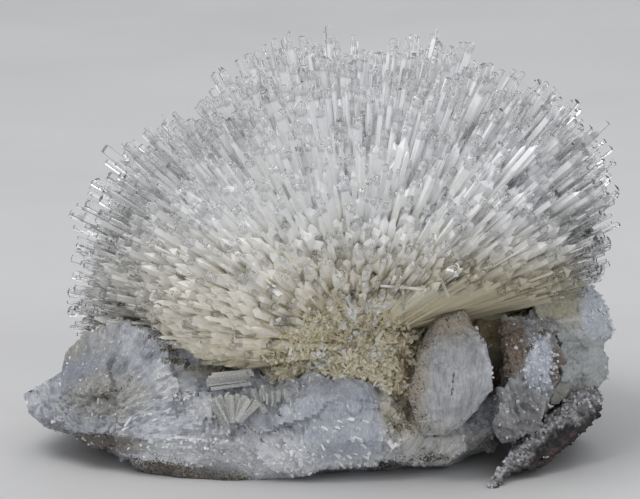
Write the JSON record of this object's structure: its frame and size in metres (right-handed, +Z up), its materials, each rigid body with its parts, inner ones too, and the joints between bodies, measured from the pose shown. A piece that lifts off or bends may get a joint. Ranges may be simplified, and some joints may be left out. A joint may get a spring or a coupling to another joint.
{
  "type": "natrolite specimen",
  "caption": "Dome of clear to white needle crystals that radiate from a broken white fibrous matrix, with broken sheaves, a cream druse and a strip of dark host rock.",
  "frame": {"origin": "centre of the specimen's bounding box seen from above, on the surface it rests on", "axes": "+X to the right seen from the front, +Y to the back, +Z up"},
  "size_m": [0.1021, 0.0868, 0.0718],
  "materials": {
    "natrolite_spray": "clear to milky white crystal, glassy",
    "matrix": "bluish white fibrous zeolite, broken, silky",
    "front_sheaf": "bluish white fibres, silky, stained brown at the top",
    "right_sheaf": "white fibres with brown stain, rough",
    "outer_sheaf": "pale greenish white, waxy",
    "druse": "small cream crystals, glittering",
    "host_rock": "dark rock with white grains and a pinkish edge, rough",
    "loose_needle": "clear crystal, glassy"
  },
  "bodies": {
    "root": {"natrolite_spray": "natrolite_spray", "matrix": "matrix", "front_sheaf": "front_sheaf", "right_sheaf": "right_sheaf", "outer_sheaf": "outer_sheaf", "druse": "druse", "host_rock": "host_rock", "loose_needle_1": "loose_needle", "loose_needle_2": "loose_needle", "loose_needle_3": "loose_needle", "loose_needle_4": "loose_needle", "loose_needle_5": "loose_needle", "loose_needle_6": "loose_needle", "loose_needle_7": "loose_needle"}
  },
  "joints": []
}
